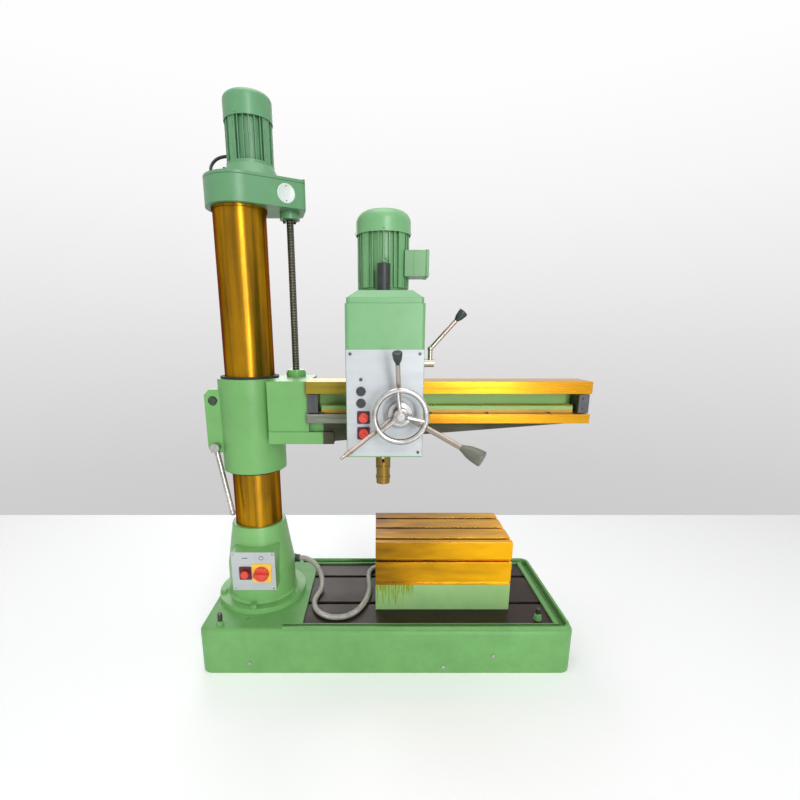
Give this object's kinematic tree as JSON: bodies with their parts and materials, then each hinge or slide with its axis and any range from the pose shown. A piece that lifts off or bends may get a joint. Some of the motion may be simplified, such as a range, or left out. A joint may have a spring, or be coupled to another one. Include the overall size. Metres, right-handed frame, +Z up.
{
  "type": "radial arm drill",
  "caption": "Floor-standing radial arm drill: hollow base with box table, column, motor-lifted swinging arm and a geared head on arm ways with feed handles and spindle.",
  "frame": {"origin": "column axis at the floor", "axes": "+X out along the arm, +Y away from the operator, +Z up"},
  "size_m": [1.419, 0.8643, 2.043],
  "materials": {
    "green_paint": "semi-gloss light green machine paint, slightly worn",
    "two_tone_base": "light green paint with a dark oily machined plate",
    "two_tone_table": "ground iron under amber rust-proofing oil, green lower walls",
    "two_tone_arm": "light green paint with ground ways under amber oil",
    "oiled_steel": "ground steel under amber rust-proofing oil",
    "bright_steel": "turned bright steel",
    "dark_steel": "blackened steel",
    "bronze": "machined bronze",
    "rubber_black": "black rubber",
    "black_plastic": "black phenolic plastic",
    "grey_green_knob": "dark grey-green moulded knob",
    "red_plastic": "red moulded plastic",
    "yellow_plastic": "yellow moulded plastic",
    "panel_grey": "pale printed aluminium plate",
    "conduit_grey": "pale grey flexible conduit"
  },
  "bodies": {
    "stand": {"base_casting": "two_tone_base", "levelling_screws": "dark_steel", "stand_screws": "bright_steel", "column_pedestal": "green_paint", "pedestal_bolts": "green_paint", "column": "oiled_steel", "column_bearing": "bright_steel", "work_table": "two_tone_table", "switch_plate": "panel_grey", "isolator_plate": "yellow_plastic", "stop_plate": "black_plastic", "conduit": "conduit_grey", "conduit_glands": "dark_steel"},
    "isolator": {"isolator_knob": "red_plastic"},
    "stop": {"stop_button": "red_plastic"},
    "lift_head": {"lift_gearbox": "green_paint", "lift_gearbox_lid": "green_paint", "lift_fasteners": "dark_steel", "lift_motor_frame": "green_paint", "lift_motor_cowl": "green_paint", "lift_motor_cable": "rubber_black"},
    "lift_rotor": {"lift_motor_rotor": "bright_steel"},
    "idler": {"lift_idler": "bright_steel"},
    "lead_screw": {"lift_screw": "dark_steel"},
    "arm": {"arm_casting": "two_tone_arm", "arm_rack": "oiled_steel", "arm_end_stops": "dark_steel", "arm_bolts": "bright_steel", "lift_nut": "bronze", "sleeve_wipers": "rubber_black"},
    "clamp": {"clamp_lever": "bright_steel"},
    "head": {"head_casting": "green_paint", "head_cover": "green_paint", "head_keepers": "bright_steel", "front_plate": "panel_grey", "plate_screws": "dark_steel", "control_bezels": "black_plastic", "head_motor_frame": "green_paint", "head_motor_cowl": "green_paint", "terminal_box": "green_paint", "terminal_box_lid": "green_paint", "spindle_guard": "black_plastic"},
    "head_rotor": {"head_motor_rotor": "bright_steel"},
    "drive": {"spindle_gear": "bright_steel"},
    "quill": {"quill": "bright_steel", "spindle_bearings": "dark_steel"},
    "spindle": {"spindle": "oiled_steel"},
    "feed": {"feed_hub": "bright_steel", "feed_handles": "bright_steel", "feed_knobs": "grey_green_knob"},
    "wheel": {"handwheel": "bright_steel"},
    "raise": {"raise_button": "black_plastic"},
    "lower": {"lower_button": "black_plastic"},
    "selector": {"selector_knob": "red_plastic"},
    "emergency": {"emergency_knob": "red_plastic"},
    "side": {"side_lever": "bright_steel", "side_lever_knob": "grey_green_knob"}
  },
  "joints": [
    {"name": "arm_swing", "type": "hinge", "parent": "stand", "child": "lift_head", "pos_m": [0, 0, 1.691], "axis": [0, 0, 1], "range_deg": [-180, 180]},
    {"name": "arm_lift", "type": "slide", "parent": "lift_head", "child": "arm", "axis": [0, 0, 1], "range_m": [-0.1, 0.53]},
    {"name": "lead_screw_turn", "type": "hinge", "parent": "lift_head", "child": "lead_screw", "pos_m": [0.17016, 0.04496, 1.45], "axis": [0, 0, 1], "continuous": true},
    {"name": "idler_turn", "type": "hinge", "parent": "lift_head", "child": "idler", "pos_m": [0.10973, 0.02899, 1.73], "axis": [0, 0, 1], "continuous": true},
    {"name": "lift_rotor_turn", "type": "hinge", "parent": "lift_head", "child": "lift_rotor", "pos_m": [0.04689, 0.01239, 1.9], "axis": [0, 0, 1], "continuous": true},
    {"name": "clamp_turn", "type": "hinge", "parent": "arm", "child": "clamp", "pos_m": [-0.1245, -0.085, 0.842], "axis": [0, 1, 0], "range_deg": [0, 60]},
    {"name": "head_traverse", "type": "slide", "parent": "arm", "child": "head", "axis": [1, 0, 0], "range_m": [-0.12, 0.57]},
    {"name": "handwheel_turn", "type": "hinge", "parent": "head", "child": "wheel", "pos_m": [0.556, -0.506, 1.036], "axis": [0, 1, 0], "continuous": true},
    {"name": "quill_feed", "type": "slide", "parent": "head", "child": "quill", "axis": [0, 0, -1], "range_m": [0, 0.18]},
    {"name": "feed_turn", "type": "hinge", "parent": "head", "child": "feed", "pos_m": [0.556, -0.451, 1.036], "axis": [0, 1, 0], "continuous": true},
    {"name": "spindle_turn", "type": "hinge", "parent": "quill", "child": "spindle", "pos_m": [0.51, -0.325, 0.9], "axis": [0, 0, 1], "continuous": true},
    {"name": "drive_turn", "type": "hinge", "parent": "head", "child": "drive", "pos_m": [0.51, -0.325, 1.3], "axis": [0, 0, 1], "continuous": true},
    {"name": "head_rotor_turn", "type": "hinge", "parent": "head", "child": "head_rotor", "pos_m": [0.51, -0.21, 1.45], "axis": [0, 0, 1], "continuous": true},
    {"name": "side_lever_turn", "type": "hinge", "parent": "head", "child": "side", "pos_m": [0.65, -0.33, 1.173], "axis": [1, 0, 0], "range_deg": [-35, 35]},
    {"name": "isolator_turn", "type": "hinge", "parent": "stand", "child": "isolator", "pos_m": [0.042, -0.18, 0.3575], "axis": [0, 1, 0], "range_deg": [0, 90]},
    {"name": "stop_press", "type": "slide", "parent": "stand", "child": "stop", "axis": [0, 1, 0], "range_m": [0, 0.005]},
    {"name": "raise_press", "type": "slide", "parent": "head", "child": "raise", "axis": [0, 1, 0], "range_m": [0, 0.004]},
    {"name": "lower_press", "type": "slide", "parent": "head", "child": "lower", "axis": [0, 1, 0], "range_m": [0, 0.004]},
    {"name": "selector_turn", "type": "hinge", "parent": "head", "child": "selector", "pos_m": [0.45, -0.44, 1.02], "axis": [0, 1, 0], "range_deg": [-45, 45]},
    {"name": "emergency_turn", "type": "hinge", "parent": "head", "child": "emergency", "pos_m": [0.45, -0.44, 0.972], "axis": [0, 1, 0], "range_deg": [-45, 45]}
  ],
  "couplings": [
    {"joint": "lead_screw_turn", "follows": "arm_lift", "rad_per_m": 628.32},
    {"joint": "idler_turn", "follows": "arm_lift", "rad_per_m": -1117},
    {"joint": "lift_rotor_turn", "follows": "arm_lift", "rad_per_m": 2513.3},
    {"joint": "handwheel_turn", "follows": "head_traverse", "rad_per_m": 47.619},
    {"joint": "feed_turn", "follows": "quill_feed", "rad_per_m": -71.429},
    {"joint": "drive_turn", "follows": "spindle_turn", "ratio": 1},
    {"joint": "head_rotor_turn", "follows": "spindle_turn", "ratio": -2.8333}
  ]
}
